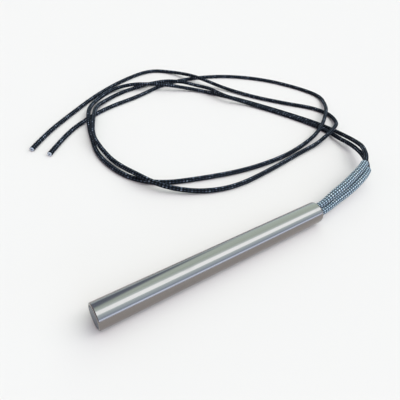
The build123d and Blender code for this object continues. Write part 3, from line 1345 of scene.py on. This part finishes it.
@dataclass(frozen=True)
class Heater:
    """The heater: its steel, its inner pieces and its two leads.

    Attributes:
        straight_exit: How far past the mouth a lead's second control point lies.
        lead_lengths: Real length of each lead.
        sleeve_lengths: Length of each sleeve from the lead's seat.
        spacing: Distance between the points of a lead's line.
    """

    straight_exit: float = 5.5 * MM
    lead_lengths: tuple[tuple[str, float], ...] = (("a", 1.065), ("b", 1.075))
    sleeve_lengths: tuple[tuple[str, float], ...] = (("a", 69.5 * MM), ("b", 71.4 * MM))
    spacing: float = 0.36 * MM

    def build(self) -> None:
        """Builds the steel, dresses the inner pieces and makes the leads."""
        low, high = (Vector(corner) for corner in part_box("sheath"))
        Sheath(low, high).build(GroundSteel().build())
        disc_low, disc_high = (Vector(corner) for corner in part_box("end_disc"))
        disc = FacedSteel((low.z + high.z) / 2, (disc_high.z - disc_low.z) / 2)
        dress(["end_disc"], disc.build())
        self.dress_inside()
        self.build_leads(high.x)

    def build_leads(self, mouth_x: float) -> None:
        """Makes both leads with their sleeves and cut ends.

        Args:
            mouth_x: Place of the mouth along X.
        """
        strand = MattFinish(
            "plated_strand", (0.42, 0.44, 0.5), (0.14, 0.16, 0.2), 0.35, metallic=1.0, grain=FINE_GRAIN
        )
        pale = MattFinish(
            "pale_insulation", (0.68, 0.72, 0.8), (0.5, 0.54, 0.62), 0.6, grain=FINE_GRAIN
        )
        cut_end = CutEnd()
        strands = cut_end.model_strands(strand.build())
        insulation = cut_end.model_insulation(pale.build())
        models = {
            "conductor_end": (strands, "stranded_conductor", "plated_copper"),
            "insulation_end": (insulation, "cut_insulation", "inner_insulation"),
        }
        lead_material, sleeve_material = LEAD_BRAID.build(), SLEEVE_BRAID.build()
        sleeve_lengths = dict(self.sleeve_lengths)
        for side, length in self.lead_lengths:
            seat_low, seat_high = (Vector(corner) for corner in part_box(f"conductor_{side}"))
            centre = (seat_low + seat_high) / 2
            corners = [(x, centre.y, centre.z) for x in (seat_high.x, mouth_x + self.straight_exit)]
            corners += [(mouth_x + x * MM, y * MM, z * MM) for x, y, z in ROUTES[side]]
            line = route_line(f"lead_{side}", corners, self.spacing)
            lead = Lead(side, length)
            piece = lead.build(line, LEAD_BRAID, lead_material)
            sleeve = Sleeve(side, sleeve_lengths[side]).build(line, SLEEVE_BRAID, sleeve_material)
            tip = Vector(line.points[-1])
            out = (tip - Vector(line.points[-2])).normalized()
            for node, (model, name, slot) in models.items():
                copy = cut_end.place(model, f"{name}_{side}", tip, out)
                stand_for(copy, f"{node}_{side}")
            lead.declare(line)
        for model, _, _ in models.values():
            bpy.data.objects.remove(model)

    def dress_inside(self) -> None:
        """Gives the hidden pieces their finishes."""
        names = list(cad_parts)
        ceramic = MattFinish("fired_magnesia", (0.86, 0.84, 0.79), (0.72, 0.70, 0.65), 0.7)
        powder = MattFinish("packed_magnesia", (0.85, 0.85, 0.82), (0.7, 0.7, 0.68), 0.85)
        nickel = MattFinish("drawn_nickel", (0.62, 0.6, 0.56), (0.5, 0.49, 0.46), 0.3, metallic=1.0)
        wire = MattFinish("oxidised_wire", (0.3, 0.28, 0.27), (0.16, 0.15, 0.15), 0.4, metallic=1.0)
        copper = MattFinish(
            "plated_copper", (0.6, 0.6, 0.6), (0.46, 0.46, 0.47), 0.35, metallic=1.0, grain=FINE_GRAIN
        )
        inside = ["bottom_washer", "top_washer", "terminal_insulator", "head_bushing"]
        dress(inside + [name for name in names if name.startswith("core_")], ceramic.build())
        dress(["magnesia_fill"], powder.build())
        joints = [name for name in names if name.startswith(("terminal_pin", "ferrule"))]
        dress(joints, nickel.build())
        dress(["heating_coil"], wire.build())
        dress(["conductor_a", "conductor_b"], copper.build())


LEAD_BRAID = BraidFinish(
    "dark_lead_braid",
    bright=(0.050, 0.062, 0.086),
    dark=(0.004, 0.005, 0.008),
    # painted glint on random crossings
    glint=(0.22, 0.25, 0.32),
    # painted shade between the strands
    valley=(0.001, 0.001, 0.002),
    cut=(0.12, 0.13, 0.16),
    strands=6,
    pitch=2.2 * MM,
    roughness=0.45,
    relief=0.25 * MM,
    sheen=0.0,
    gloss=0.04,
    cut_width=0.4 * MM,
    glint_share=0.45,
)
SLEEVE_BRAID = BraidFinish(
    "blue_grey_sleeve_braid",
    bright=(0.58, 0.72, 0.82),
    dark=(0.03, 0.05, 0.08),
    # painted glint on random crossings
    glint=(0.84, 0.93, 0.97),
    # painted shade between the strands
    valley=(0.006, 0.012, 0.026),
    cut=(0.48, 0.58, 0.65),
    strands=10,
    pitch=2.15 * MM,
    roughness=0.4,
    relief=0.35 * MM,
    sheen=0.05,
    gloss=0.4,
    cut_width=1.6 * MM,
    glint_share=0.4,
)

# Control points of the two leads after the mouth, in mm, each x measured from the mouth
ROUTES: dict[str, list[Point]] = {
    "a": [
        (17.5, 3.5, 9.7), (31, 5.4, 11), (43.5, 8.7, 11.4), (55, 11.4, 12.5),
        (67.5, 16.5, 13.2), (79.5, 28.3, 12.6), (88.5, 39.5, 8.5), (96, 51, 4.4),
        (100, 66, 1.6), (95.5, 85, 1.6), (81.5, 116, 1.6), (62.5, 152.5, 1.6),
        (43.5, 179, 1.6), (29.5, 189.5, 3), (15.5, 195.5, 5.6), (1.5, 203.5, 5.8),
        (-11.5, 209, 5.8), (-24, 214.5, 3), (-38.5, 210.5, 1.6), (-53.5, 198.5, 1.6),
        (-64.5, 184, 4), (-71.5, 168, 5.8), (-76, 155, 2), (-79.5, 141, 1.6),
        (-84, 122, 1.6), (-82.5, 102, 1.6), (-76.5, 84.5, 1.6), (-62.5, 71.5, 1.6),
        (-39.5, 64.5, 1.6), (-5.5, 57.5, 1.6), (30.5, 57.5, 1.6), (56.5, 62.5, 1.8),
        (73.5, 66.5, 3.8), (86.5, 72, 5.6), (100.5, 80.5, 5.6), (116.5, 92, 5.8),
        (131.5, 105.5, 2.6), (143.5, 122, 1.6), (138.5, 144, 1.6), (121.5, 175, 1.6),
        (90.5, 200, 1.6), (52.5, 210, 1.6), (16.5, 207, 1.6), (-15.5, 192.5, 1.6),
        (-51.5, 182.5, 1.6), (-81.5, 165, 1.6), (-98.5, 149.5, 1.6), (-111.6, 134.7, 1.6),
    ],
    "b": [
        (21, 1.9, 5.1), (33.5, 3.2, 6.1), (46, 5.4, 7.7), (57, 8.4, 8.6),
        (67, 13, 8.2), (78, 24.8, 7.8), (86.5, 40.2, 5.7), (89.5, 56, 3.4),
        (93.5, 69.5, 1.6), (89.5, 87, 1.6), (79.5, 112, 1.6), (65, 139.5, 2),
        (53.5, 150, 5), (48.5, 161, 5.8), (47, 173, 5.8), (42.5, 188, 3.6),
        (32.5, 196.5, 5.6), (19, 204.5, 5.8), (6.5, 211.5, 2.6), (-9.5, 210.5, 1.6),
        (-27.5, 205.5, 1.6), (-46.5, 195.5, 1.8), (-59.5, 183, 4.2), (-67.5, 167, 5.8),
        (-74.5, 152, 5.8), (-79.5, 138, 5.6), (-80.7, 124, 5), (-79, 109, 2.4),
        (-76.1, 95, 3.2), (-73.5, 82, 5.6), (-69.5, 70.5, 5.8), (-59.5, 60.5, 3.6),
        (-43.5, 51.5, 1.6), (-21.5, 46, 1.6), (12.5, 50, 1.6), (46.5, 56, 1.6),
        (68.5, 58.5, 2.2), (82.5, 61, 5.8), (97.5, 66.5, 6), (111, 74.5, 2.8),
        (120.5, 89.5, 1.6), (116.5, 106, 1.6), (98.5, 125, 1.6), (80.5, 148, 1.6),
        (67, 174, 1.8), (56.5, 189, 5), (51.5, 200, 5.8), (48, 212, 4.8),
        (41.5, 231, 1.6), (22.5, 244, 1.6), (-11.5, 231.5, 1.6), (-47.5, 210, 1.6),
        (-81.5, 182.5, 1.6), (-105.5, 162, 1.6), (-120, 145.7, 1.6),
    ],
}


def main() -> None:
    """Builds the camera, the studio and the heater."""
    logging.basicConfig(level=logging.INFO)
    Camera().build()
    Studio().build()
    Heater().build()


if __name__ == "__main__":
    main()
